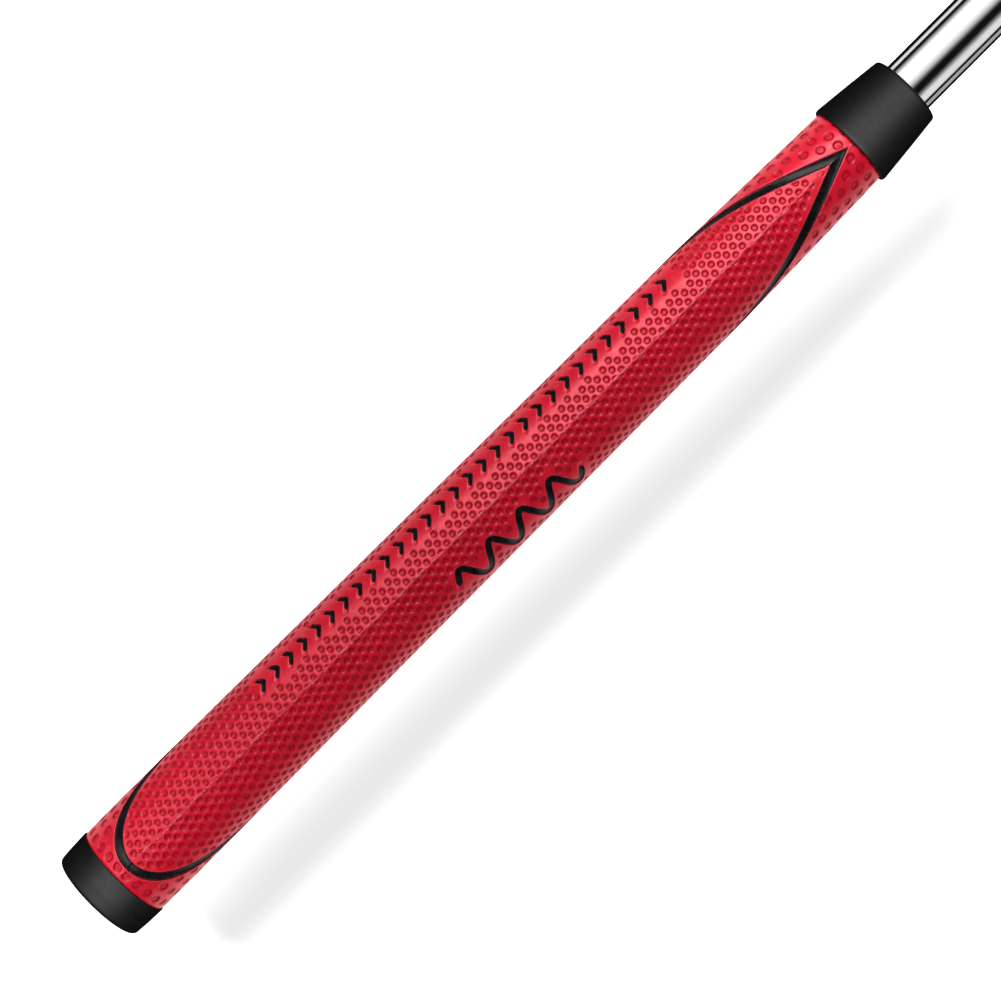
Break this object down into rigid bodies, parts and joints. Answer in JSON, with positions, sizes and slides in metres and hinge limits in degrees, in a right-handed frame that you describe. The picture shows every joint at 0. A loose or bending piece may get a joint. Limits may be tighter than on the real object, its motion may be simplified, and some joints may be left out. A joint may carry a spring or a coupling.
{
  "type": "golf putter grip",
  "caption": "Wrapped putter grip with a ridged, dimpled face, flat thumb side, rubber end cap and tapered nose collar, fitted over taped steel shaft.",
  "frame": {"origin": "centre of the vent hole in the butt cap's outer face, on the shaft axis", "axes": "+X along the shaft axis from the butt towards the club head, +Z out of the seam ridge, -Z out of the flat thumb side"},
  "size_m": [0.3067, 0.0256, 0.024],
  "materials": {
    "red_polyurethane": "satin",
    "red_seam_sealant": "satin",
    "black_paint": "gloss",
    "black_rubber": "matte",
    "core_foam": "matte",
    "grey_felt": "matte",
    "white_tape": "matte",
    "chrome_steel": "polished"
  },
  "bodies": {
    "root": {"butt_cap": "black_rubber", "nose_collar": "black_rubber", "outer_skin": "red_polyurethane", "felt_backing": "grey_felt", "inner_sleeve": "core_foam", "seam_bead": "red_seam_sealant", "outline_paint_left": "black_paint", "outline_paint_right": "black_paint", "chevron_paint": "black_paint", "wave_paint": "black_paint", "grip_tape": "white_tape", "shaft_stub": "chrome_steel"}
  },
  "joints": []
}
